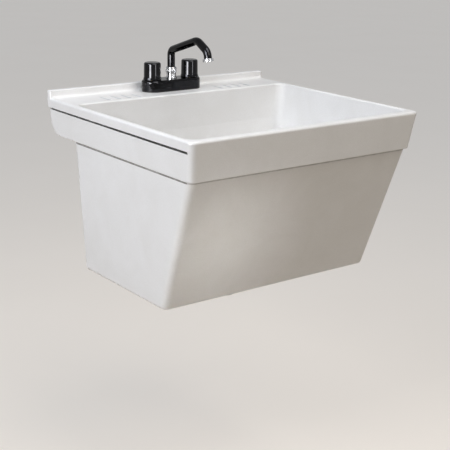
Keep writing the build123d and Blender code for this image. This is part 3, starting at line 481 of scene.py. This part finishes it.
def drill(radius, reach, about, place, steps=48):
    """Level round cutter, tipped about the X or Y axis, that reaches as far either way from its place."""
    blank = turned(((0, -reach), (radius, -reach), (radius, reach), (0, reach)), steps=steps)
    return laid(blank, Matrix.Rotation(math.pi / 2, 4, about), place)


def cut(bm, *cutters):
    """Mesh less its cutters."""
    body, *tools = [fresh(f"blank_{index}", each) for index, each in enumerate((bm, *cutters))]
    for tool in tools:
        saw = body.modifiers.new("saw", "BOOLEAN")
        saw.operation = "DIFFERENCE"
        saw.solver = "EXACT"
        saw.object = tool
    solid = bmesh.new()
    shape = body.evaluated_get(bpy.context.evaluated_depsgraph_get())
    solid.from_mesh(shape.to_mesh())
    shape.to_mesh_clear()
    for thing in (body, *tools):
        bpy.data.objects.remove(thing)
    return solid


def fresh(name, bm):
    """Object made of a mesh, its faces turned outwards."""
    bmesh.ops.recalc_face_normals(bm, faces=bm.faces)
    mesh = bpy.data.meshes.new(name)
    bm.to_mesh(mesh)
    bm.free()
    thing = bpy.data.objects.new(name, mesh)
    bpy.context.scene.collection.objects.link(thing)
    return thing


def grow(thing, tree, slot, settings):
    """Runs a Geometry Nodes tree on an object and keeps its result as a plain mesh."""
    modifier = thing.modifiers.new(tree.name, "NODES")
    modifier.node_group = tree
    settings = {**settings, "Finish": FINISHES[slot]}
    for item in tree.interface.items_tree:
        if item.in_out == "INPUT" and item.name in settings:
            modifier[item.identifier] = settings[item.name]
    shape = thing.evaluated_get(bpy.context.evaluated_depsgraph_get())
    mesh = bpy.data.meshes.new_from_object(shape)
    thing.modifiers.remove(modifier)
    thing.data = mesh


def piece(name, bm, slot, body, nodes, repeats=()):
    """Finished piece of the sink: in metres, in its finish, on its body, for its CAD nodes."""
    bmesh.ops.scale(bm, vec=(MM, MM, MM), verts=bm.verts)
    thing = fresh(name, bm)
    for tree, settings in repeats:
        grow(thing, tree, slot, settings)
    mesh = thing.data
    mesh.name = name
    mesh.materials.clear()
    mesh.materials.append(FINISHES[slot])
    mesh.shade_smooth()
    mesh.set_sharp_from_angle(angle=SHARP)
    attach(thing, body)
    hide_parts(*nodes)


# ---------------------------------------------------------------- what repeats, in Geometry Nodes
def nodes_tree(name, inputs):
    """Empty tree with its named inputs; gives the tree, its group input and a node maker."""
    tree = bpy.data.node_groups.new(name, "GeometryNodeTree")
    tree.interface.new_socket("Geometry", in_out="INPUT", socket_type="NodeSocketGeometry")
    for label, kind in (*inputs, ("Finish", "Material")):
        tree.interface.new_socket(label, in_out="INPUT", socket_type=f"NodeSocket{kind}")
    tree.interface.new_socket("Geometry", in_out="OUTPUT", socket_type="NodeSocketGeometry")
    source = tree.nodes.new("NodeGroupInput")

    def make(kind, mode=None, **sockets):
        node = tree.nodes.new(kind)
        if mode:
            node.mode = mode
        for label, value in sockets.items():
            socket = node.inputs[label.replace("_", " ")]
            if isinstance(value, bpy.types.NodeSocket):
                tree.links.new(value, socket)
            else:
                socket.default_value = value
        return node

    return tree, source, make


def close_tree(tree, source, make, extra):
    """Joins what a tree made to the piece itself, real and in one finish."""
    joined = make("GeometryNodeJoinGeometry")
    tree.links.new(source.outputs["Geometry"], joined.inputs["Geometry"])
    tree.links.new(extra, joined.inputs["Geometry"])
    real = make("GeometryNodeRealizeInstances", Geometry=joined.outputs["Geometry"])
    given = source.outputs["Finish"]
    finish = make("GeometryNodeSetMaterial", Geometry=real.outputs["Geometry"], Material=given)
    out = tree.nodes.new("NodeGroupOutput")
    tree.links.new(finish.outputs["Geometry"], out.inputs["Geometry"])
    return tree


def ribs_round():
    """Upright bars with rounded corners, set evenly round an axis."""
    tree, source, make = nodes_tree("ribs_round", (
        ("Count", "Int"), ("Ring radius", "Float"), ("Rib width", "Float"), ("Rib depth", "Float"),
        ("Rib corner", "Float"), ("Centre", "Vector"), ("Low", "Float"), ("High", "Float"),
    ))
    given = source.outputs
    foot = make("ShaderNodeCombineXYZ", Z=given["Low"])
    head = make("ShaderNodeCombineXYZ", Z=given["High"])
    line = make("GeometryNodeCurvePrimitiveLine", Start=foot.outputs[0], End=head.outputs[0])
    outline = make(
        "GeometryNodeCurvePrimitiveQuadrilateral",
        Width=given["Rib depth"],
        Height=given["Rib width"],
    )
    corner = make(
        "GeometryNodeFilletCurve", "POLY", Curve=outline.outputs["Curve"], Radius=given["Rib corner"], Count=3
    )
    bar = make(
        "GeometryNodeCurveToMesh",
        Curve=line.outputs["Curve"],
        Profile_Curve=corner.outputs["Curve"],
        Fill_Caps=True,
    )
    ring = make("GeometryNodeMeshCircle", Vertices=given["Count"], Radius=given["Ring radius"])
    place = make("GeometryNodeInputPosition")
    outward = make("FunctionNodeAlignRotationToVector", Vector=place.outputs["Position"])
    outward.axis = "X"
    bars = make(
        "GeometryNodeInstanceOnPoints",
        Points=ring.outputs["Mesh"],
        Instance=bar.outputs["Mesh"],
        Rotation=outward.outputs["Rotation"],
    )
    placed = make("GeometryNodeTransform", Geometry=bars.outputs["Instances"], Translation=given["Centre"])
    return close_tree(tree, source, make, placed.outputs["Geometry"])


def thread_round():
    """Screw thread: a ridge that climbs round an axis."""
    tree, source, make = nodes_tree("thread_round", (
        ("Turns", "Float"), ("Thread radius", "Float"), ("Ridge", "Float"),
        ("Length", "Float"), ("Foot", "Vector"),
    ))
    given = source.outputs
    climb = make(
        "GeometryNodeCurveSpiral",
        Resolution=48,
        Rotations=given["Turns"],
        Start_Radius=given["Thread radius"],
        End_Radius=given["Thread radius"],
        Height=given["Length"],
    )
    crest = make("GeometryNodeCurvePrimitiveCircle", Resolution=6, Radius=given["Ridge"])
    ridge = make(
        "GeometryNodeCurveToMesh",
        Curve=climb.outputs["Curve"],
        Profile_Curve=crest.outputs["Curve"],
        Fill_Caps=True,
    )
    placed = make("GeometryNodeTransform", Geometry=ridge.outputs["Mesh"], Translation=given["Foot"])
    return close_tree(tree, source, make, placed.outputs["Geometry"])


RIBS = ribs_round()
THREAD = thread_round()


def ribs(count, ring_radius, width, depth, corner, centre, low, high):
    """Settings of the ribs, given in millimetres."""
    return RIBS, {
        "Count": count, "Ring radius": ring_radius * MM, "Rib width": width * MM, "Rib depth": depth * MM,
        "Rib corner": corner * MM, "Centre": (centre[0] * MM, centre[1] * MM, 0.0),
        "Low": low * MM, "High": high * MM,
    }


def thread(radius, pitch, ridge, centre, low, high):
    """Settings of a thread whose crests reach radius, given in millimetres."""
    return THREAD, {
        "Turns": (high - low) / pitch, "Thread radius": (radius - ridge) * MM, "Ridge": ridge * MM,
        "Length": (high - low) * MM, "Foot": (centre[0] * MM, centre[1] * MM, low * MM),
    }


# ---------------------------------------------------------------- faucet
FAUCET_AT = middle("base_cover")
SIDES = ("hot", "cold")
SCREW_SHANK = 9.2
HUB_FOOT = 44
SPOUT_R = 8.75
SPOUT_BORE_R = 7.75
# Middle of the spout's tube: reach from its axis, height and the radius of each bend
SPOUT_LINE = ((0, 29.5), (0, 89.2, 14.0), (101.99, 121.55, 24.0), (139.34, 101.28, 20.0), (142.98, 84.16))


def faucet_base():
    """Hollow cover with full round ends and a soft upper edge, open for the valves and the hub."""
    low, high = span("base_cover")
    left, right = (corner.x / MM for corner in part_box("base_cover"))
    near, far = (corner.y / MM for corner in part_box("base_cover"))
    end_radius = (far - near) / 2
    half_run = (right - left) / 2 - end_radius
    wall, top_inset, valve_hole, hub_hole = 2.5, 12, 11.4, 7.4
    outside = softened(((0.4, low), (0, low + 0.6, 0.5), (0, high, 5.0), (top_inset, high)), closed=False)
    inside = softened(((top_inset, high - wall), (wall, high - wall, 3.0), (wall, low)), closed=False)
    section = (*outside, *inside)
    loops = [stadium(half_run, end_radius - inset, height, FAUCET_AT) for inset, height in section]
    shell = bmesh.new()
    rings = [[shell.verts.new(point) for point in loop] for loop in loops]
    for index, ring in enumerate(rings):
        if index != len(outside) - 1:
            bridge(shell, ring, rings[(index + 1) % len(rings)])
    shell.faces.new(rings[len(outside) - 1])
    shell.faces.new(rings[len(outside)])
    hot, cold = (middle(f"{side}_stem")[0] for side in SIDES)
    holes = [
        turned(((0, high - 6), (radius, high - 6), (radius, high + 4), (0, high + 4)), (x, FAUCET_AT[1]), 48)
        for x, radius in ((hot, valve_hole), (0, hub_hole), (cold, valve_hole))
    ]
    piece("faucet_base", cut(shell, *holes), "faucet_black", "root", ["base_cover"])


def handle(side):
    """Round grip with a flared foot and a soft upper edge, hollow round its hub."""
    low, high = span(f"{side}_handle")
    cap_low = span(f"{side}_index_cap")[0]
    screw_seat = span(f"{side}_handle_screw")[0] + SCREW_SHANK
    stem_high = span(f"{side}_stem")[1]
    ceiling = high - 7
    foot, grip, top = 20.6, 19.4, 19.0
    socket, hub, head, screw = 4.0, 7.5, 4.4, 1.9
    outline = (
        (16.6, low, 0.4), (foot, low, 0.5), (foot, low + 1.1, 0.6), (grip, low + 6.0, 7.0), (top, high, 4.4),
        (8.8, high, 0.3), (8.45, cap_low), (head, cap_low), (head, screw_seat), (screw, screw_seat),
        (screw, stem_high), (socket, stem_high), (socket, HUB_FOOT), (hub, HUB_FOOT, 0.5),
        (hub, ceiling, 1.5), (16.4, ceiling, 2.5),
    )
    node = f"{side}_handle"
    piece(f"{side}_grip", turned(outline, middle(node), 128), "faucet_black", f"{side}_handle", [node])


def index_cap(side):
    """Slightly domed cap pressed into the top of a handle."""
    node = f"{side}_index_cap"
    low, high = span(node)
    rim, dome, rise, widest = 8.4, 8.0, 0.35, 1.2
    crown = [
        (dome * math.sin(a) / math.sin(widest), high - rise * (1 - math.cos(a)) / (1 - math.cos(widest)))
        for a in (widest, 0.9, 0.6, 0.3)
    ]
    outline = ((0, low), (rim, low), (rim, high - 0.75, 0.35), *crown, (0, high))
    piece(f"{side}_cap", turned(outline, middle(node)), "faucet_black", f"{side}_handle", [node])


def spout_hub():
    """Turned hub that the spout swivels in, with its flange on the base."""
    low, high = span("spout_hub")
    deck = span("base_cover")[1]
    waterway, foot, flange, barrel, screwed, bore, groove = 5.0, 6.95, 12.6, 11.2, 10.5, SPOUT_R + 0.05, 10.1
    outline = (
        (waterway, low), (foot, low), (foot, deck), (flange, deck, 0.3), (flange, deck + 4, 1.4),
        (barrel, deck + 4, 0.8), (barrel, high - 9, 0.7), (screwed, high - 9), (screwed, high), (bore, high),
        (bore, high - 10.6), (groove, high - 10.6), (groove, high - 13), (bore, high - 13), (bore, high - 17),
        (waterway, high - 17),
    )
    piece("hub", turned(outline, FAUCET_AT), "faucet_chrome", "root", ["spout_hub"])


def spout_nut():
    """Round nut over the hub, gripped by fine ridges."""
    low, high = span("spout_nut")
    shoulder = high - 3
    screwed, outer, collar = 10.55, 12.1, 9.05
    outline = (
        (screwed, low), (outer, low, 0.9), (outer, shoulder, 1.0), (11.2, high, 1.0), (collar, high, 0.3),
        (collar, shoulder), (screwed, shoulder),
    )
    ridges = ribs(40, outer - 0.05, 1.0, 0.7, 0.3, FAUCET_AT, low + 1.6, high - 4.2)
    piece("hub_nut", turned(outline, FAUCET_AT), "faucet_chrome", "root", ["spout_nut"], [ridges])


def along(points, index):
    """Direction of a line of points at one of them."""
    return (points[min(index + 1, len(points) - 1)] - points[max(index - 1, 0)]).normalized()


def pipe(line, radius, bore, steps=64):
    """Closed pipe wall that follows a line of points in a plane x = 0."""
    across = Vector((1, 0, 0))
    walls = ([], [])
    for index, point in enumerate(line):
        upward = across.cross(along(line, index))
        for wall, size in zip(walls, (radius, bore)):
            turns = (2 * math.pi * step / steps for step in range(steps))
            wall.append([point + across * size * math.cos(a) + upward * size * math.sin(a) for a in turns])
    return lofted(walls[0] + walls[1][::-1])


def spout():
    """Bent tube from the hub to the nozzle."""
    line = [Vector((0, FAUCET_AT[1] - reach, height)) for reach, height in softened(SPOUT_LINE, closed=False)]
    piece("spout_pipe", pipe(line, SPOUT_R, SPOUT_BORE_R), "faucet_black", "spout", ["spout_tube"])


def nozzle():
    """Ring screwed on the end of the spout, with a line turned in it."""
    grip, reach, outer, line, seat = -2.5, 4.0, 11.9, 11.45, 9.4
    outline = (
        (SPOUT_R, grip), (outer, grip, 0.9), (outer, 0.3, 0.25), (line, 0.6, 0.15), (line, 1.0, 0.15),
        (outer, 1.3, 0.25), (outer, reach, 1.0), (seat, reach, 0.4), (seat, 0), (SPOUT_R, 0),
    )
    bend, end = (Vector(point[:2]) for point in SPOUT_LINE[-2:])
    fall = Vector((0, bend.x - end.x, end.y - bend.y)).normalized()
    across = Vector((1, 0, 0))
    turn = Matrix((across, fall.cross(across), fall)).transposed()
    ring = laid(turned(outline), turn, (0, FAUCET_AT[1] - end.x, end.y))
    piece("nozzle", ring, "faucet_chrome", "spout", ["spout_nozzle"])


# ---------------------------------------------------------------- under the deck
def shank(side):
    """Valve body with its threaded shank down through the deck."""
    node = f"{side}_valve_body"
    centre = middle(node)
    low, high = span(node)
    bore, inlet, through_deck, body, seat = 6.5, 9.5, 10.1, 13, 8.5
    outline = (
        (bore, low), (inlet, low, 0.4), (inlet, low + 35), (through_deck, low + 35), (through_deck, 5),
        (body, 5, 0.6), (body, 23.5), (11, 23.5), (11, high, 0.4), (seat, high), (seat, 10), (bore, 10),
    )
    toward_middle = -1 if centre[0] > 0 else 1
    port = drill(6, 12, "Y", (centre[0] + toward_middle * 12, centre[1], 13.5))
    pitch, ridge = 1.8, 0.75
    threads = [
        thread(10.4, pitch, ridge, centre, low + 1.5, low + 34),
        thread(11.0, pitch, ridge, centre, low + 36, 2),
    ]
    piece(f"{side}_shank", cut(turned(outline, centre), port), "valve_brass", "root", [node], threads)


def shank_fixings(side):
    """Washer and hexagon locknut that hold a shank to the deck."""
    centre = middle(f"{side}_shank_washer")
    low, high = span(f"{side}_shank_washer")
    washer = turned(ring_section(11.3, 17.0, low, high), centre)
    piece(f"{side}_deck_washer", washer, "drain_plastic", "root", [f"{side}_shank_washer"])
    low, high = span(f"{side}_shank_locknut")
    nut = hex_nut(17.5, 11.05, low, high, centre)
    piece(f"{side}_deck_nut", nut, "valve_brass", "root", [f"{side}_shank_locknut"])


def wall_rail():
    """Hanger rail bent from sheet, with its screw holes."""
    low, high = (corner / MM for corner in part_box("wall_hanger"))
    back, front = high.y, low.y
    sheet, bend, trough, lip = 3.0, 1.5, -33, -14
    section = softened((
        (back, high.z, 0.5), (back, low.z, 0.5), (back - sheet, low.z, 0.5), (back - sheet, trough, bend),
        (front, trough, bend + sheet), (front, lip, 0.8), (front + sheet, lip, 0.8),
        (front + sheet, trough + sheet, bend), (back - sheet, trough + sheet, bend),
        (back - sheet, high.z, 0.5),
    ))
    bar = lofted([[(x, y, z) for y, z in section] for x in (low.x, high.x)], closed=False)
    holes = [drill(4.25, 4, "X", (x, back - sheet / 2, -50)) for x in (-203.2, -76.2, 76.2, 203.2)]
    piece("hanger_rail", cut(bar, *holes), "hanger_steel", "root", ["wall_hanger"])


# ---------------------------------------------------------------- drain
DRAIN_AT = middle("strainer_body")


def strainer():
    """Flanged strainer body with a rolled lip and a threaded barrel."""
    low, high = span("strainer_body")
    grid_low = span("strainer_grid")[0]
    flange, barrel, bore, seat = 38, 23.1, 20, 18.2
    under_flange = high - 2.5
    outline = (
        (21.5, high, 2.0), (36.4, high, 1.4), (flange, high - 1.6, 0.8), (flange, under_flange, 0.3),
        (barrel, under_flange), (barrel, low, 0.6), (seat, low, 0.4), (seat, grid_low), (bore, grid_low),
        (bore, high - 1.6, 1.2),
    )
    screw = thread(24.0, 2.2, 0.95, DRAIN_AT, low + 1.5, high - 6)
    piece("strainer", turned(outline, DRAIN_AT), "drain_steel", "root", ["strainer_body"], [screw])


def drain_washers():
    """Rings that seal and ease the drain's nuts."""
    for name, node, slot, inner, outer in (
        ("bowl_seal", "flange_seal", "rubber_black", 24.3, 37.0),
        ("floor_gasket", "drain_gasket", "rubber_black", 24.3, 36.0),
        ("slip_washer", "friction_washer", "fibre_washer", 24.3, 36.0),
    ):
        low, high = span(node)
        piece(name, turned(ring_section(inner, outer, low, high, 0.3), DRAIN_AT), slot, "root", [node])


def drain_nut():
    """Moulded locknut with six lugs."""
    low, high = span("drain_locknut")
    radius = 34.0
    body = turned(ring_section(24.05, radius, low, high, 0.9), DRAIN_AT)
    lugs = ribs(6, radius, 9.0, 8.0, 1.2, DRAIN_AT, low + 0.3, high - 0.3)
    piece("drain_nut", body, "drain_plastic", "root", ["drain_locknut"], [lugs])


def tail_tube():
    """Tailpiece with its flange, neck and softened mouth."""
    low, high = span("tailpiece")
    bore, flange, neck, outer = 17.75, 22.5, 18.4, 19.05
    outline = (
        (bore, high, 0.3), (flange, high, 0.5), (flange, high - 2, 0.5), (neck, high - 2, 0.8),
        (neck, high - 7, 0.5), (outer, high - 7.4, 0.5), (outer, low, 0.5), (bore, low, 0.4),
    )
    piece("tail_tube", turned(outline, DRAIN_AT), "drain_plastic", "root", ["tailpiece"])


def tail_nut():
    """Moulded slip nut, six-sided, with its chamfered corners."""
    low, high = span("tailpiece_nut")
    bore, screwed, floor = 19.35, 24.05, low + 4
    inside = ((screwed + 0.55, high), (screwed, high - 0.6), (screwed, floor))
    loops = [circle(*point, DRAIN_AT) for point in ((bore, floor), (bore, low + 0.5), (bore + 0.5, low))]
    loops += six_sides(30.0, 0.6, 2.2, (0, 0.3, 0.6, 1), low, high, DRAIN_AT)
    loops += [circle(*point, DRAIN_AT) for point in inside]
    piece("tail_nut", lofted(loops), "drain_plastic", "root", ["tailpiece_nut"])


def plug():
    """Rubber stopper with a rolled cap edge and a post for its ring."""
    low, high = span("stopper")
    flange = span("strainer_body")[1]
    cap = flange + 2.4
    plugged, rim, post = 19.6, 25, 3.2
    outline = (
        (0, low), (18.4, low, 1.2), (plugged, flange, 0.4), (rim, flange, 0.5), (rim, flange + 2, 0.9),
        (22, flange + 3, 1.0), (21, cap, 0.8), (7, cap, 1.2), (post, flange + 3.4, 1.6), (post, high, 1.2),
        (0, high),
    )
    eye = drill(1.5, 9, "X", (*DRAIN_AT, flange + 7), 32)
    piece("plug", cut(turned(outline, DRAIN_AT), eye), "rubber_black", "stopper", ["stopper"])


for side in SIDES:
    handle(side)
    index_cap(side)
    shank(side)
    shank_fixings(side)
faucet_base()
spout_hub()
spout_nut()
spout()
nozzle()
wall_rail()
strainer()
drain_washers()
drain_nut()
tail_tube()
tail_nut()
plug()


# ---------------------------------------------------------------- floor, light and camera
FLOOR_DROP = 0.86
FLOOR_SIZE = 40.0
FLOOR_COLOURS = ((0.53, 0.46, 0.375), (0.55, 0.48, 0.395))
# How bright the background is seen: the floor's lift, and the world as a light and as it shows
FLOOR_LIFT = 0.43
WORLD_LIGHT = 0.12
WORLD_SEEN = 0.44
BACKDROP = (0.985, 0.985, 0.99, 1.0)


def in_sight(tree):
    """1 where the background is seen, mirrored or seen through glass, 0 for the light it throws on things."""
    rays = tree.nodes.new("ShaderNodeLightPath").outputs
    mirrored = maths(tree, "MAXIMUM", rays["Is Camera Ray"], rays["Is Glossy Ray"])
    return maths(tree, "MAXIMUM", mirrored, rays["Is Transmission Ray"])


def studio_floor():
    """Plain pale floor under the hanging sink."""
    bm = bmesh.new()
    bmesh.ops.create_grid(bm, x_segments=1, y_segments=1, size=FLOOR_SIZE / 2)
    bmesh.ops.translate(bm, verts=bm.verts, vec=(0, 0, -FLOOR_DROP))
    mesh = bpy.data.meshes.new("floor")
    bm.to_mesh(mesh)
    bm.free()
    floor = bpy.data.objects.new("floor", mesh)
    bpy.context.scene.collection.objects.link(floor)
    material, tree, shader = new_finish("floor_pale")
    paper = spread(tree, noise(tree, here(tree), 2.0, 2.0), 0.3, 0.7)
    link(tree, blend_colour(tree, paper, *FLOOR_COLOURS), shader.inputs["Base Color"])
    shader.inputs["Roughness"].default_value = 0.9
    shader.inputs["Emission Color"].default_value = BACKDROP
    link(tree, maths(tree, "MULTIPLY", in_sight(tree), FLOOR_LIFT), shader.inputs["Emission Strength"])
    mesh.materials.append(material)


def soft_box(name, place, aim, width, height, glow, colour, mirrored_only=False, beam=180):
    """Rectangular lamp at a place, turned towards a point; its glow is its own brightness, 1 being white.

    A lamp that is mirrored only shows in gloss and lights nothing else. A beam is an angle in degrees.
    """
    lamp = bpy.data.lights.new(name, "AREA")
    lamp.shape = "RECTANGLE"
    lamp.size = width
    lamp.size_y = height
    lamp.energy = glow * math.pi * width * height
    lamp.spread = math.radians(beam)
    lamp.color = colour
    thing = bpy.data.objects.new(name, lamp)
    thing.location = place
    thing.rotation_mode = "QUATERNION"
    thing.rotation_quaternion = (Vector(aim) - Vector(place)).to_track_quat("-Z", "Y")
    thing.visible_diffuse = not mirrored_only
    bpy.context.scene.collection.objects.link(thing)


def around(azimuth, distance, height):
    """Place at an azimuth in degrees, from straight ahead of the sink towards its left."""
    turn = math.radians(azimuth)
    return (-distance * math.sin(turn), -distance * math.cos(turn), height)


# Points that the lamps are turned to, and plain white
TUB_MIDDLE = (0, -0.27, -0.05)
FRONT_SPOT = (-0.170, -0.468, -0.225)
FAUCET_FOOT = (0, -0.05, 0.0)
WHITE = (1.0, 1.0, 1.0)


def studio_light():
    """Soft boxes above, in front and on the left, a faint pool on the front, two strips for the plating."""
    soft_box("key_light", around(-10, 1.10, 2.0), TUB_MIDDLE, 1.6, 1.3, 4.3, (0.968, 0.975, 1.0))
    soft_box("front_box", around(-10, 2.0, 1.35), TUB_MIDDLE, 1.2, 1.0, 2.6, (1.0, 0.895, 0.76))
    soft_box("side_box", around(76, 2.0, 0.85), (0, -0.25, -0.10), 1.2, 0.9, 9.4, (0.905, 0.935, 1.0))
    soft_box("front_pool", around(12, 1.7, -0.35), FRONT_SPOT, 0.16, 0.16, 0.54, (1.0, 0.985, 0.96), beam=19)
    soft_box("plating_strip", around(61, 2.2, -0.05), FAUCET_FOOT, 0.80, 1.2, 21.0, WHITE, mirrored_only=True)
    soft_box("plating_line", around(-10, 2.4, -0.05), FAUCET_FOOT, 0.35, 1.2, 7.0, WHITE, mirrored_only=True)
    world = bpy.data.worlds.new("surroundings")
    bpy.context.scene.world = world
    world.use_nodes = True
    tree = world.node_tree
    backdrop = tree.nodes["Background"]
    backdrop.inputs["Color"].default_value = BACKDROP
    link(tree, spread(tree, in_sight(tree), 0, 1, WORLD_LIGHT, WORLD_SEEN), backdrop.inputs["Strength"])


# Camera worked out from the photograph's own perspective
FRAME_PIXELS = 450
FOCAL_PIXELS = 1058.75
CAMERA_PLACE = Vector((-1.3499, -2.0456, 0.4003))
CAMERA_YAW = math.radians(37.073)
CAMERA_PITCH = math.radians(16.681)
CAMERA_ROLL = math.radians(1.072)
SENSOR = 36.0


def photo_camera():
    """Camera at the photograph's place, turned by its yaw, pitch and roll."""
    forward = Vector((
        math.sin(CAMERA_YAW) * math.cos(CAMERA_PITCH),
        math.cos(CAMERA_YAW) * math.cos(CAMERA_PITCH),
        -math.sin(CAMERA_PITCH),
    ))
    level = Vector((math.cos(CAMERA_YAW), -math.sin(CAMERA_YAW), 0))
    upright = level.cross(forward)
    right = level * math.cos(CAMERA_ROLL) + upright * math.sin(CAMERA_ROLL)
    up = upright * math.cos(CAMERA_ROLL) - level * math.sin(CAMERA_ROLL)
    data = bpy.data.cameras.new("photo_camera")
    data.sensor_width = SENSOR
    data.lens = SENSOR * FOCAL_PIXELS / FRAME_PIXELS
    data.clip_end = 100
    camera = bpy.data.objects.new("photo_camera", data)
    turn = Matrix((right, up, -forward)).transposed()
    camera.matrix_world = Matrix.Translation(CAMERA_PLACE) @ turn.to_4x4()
    bpy.context.scene.collection.objects.link(camera)
    bpy.context.scene.camera = camera


studio_floor()
studio_light()
photo_camera()
bpy.context.scene.view_settings.view_transform = "Standard"
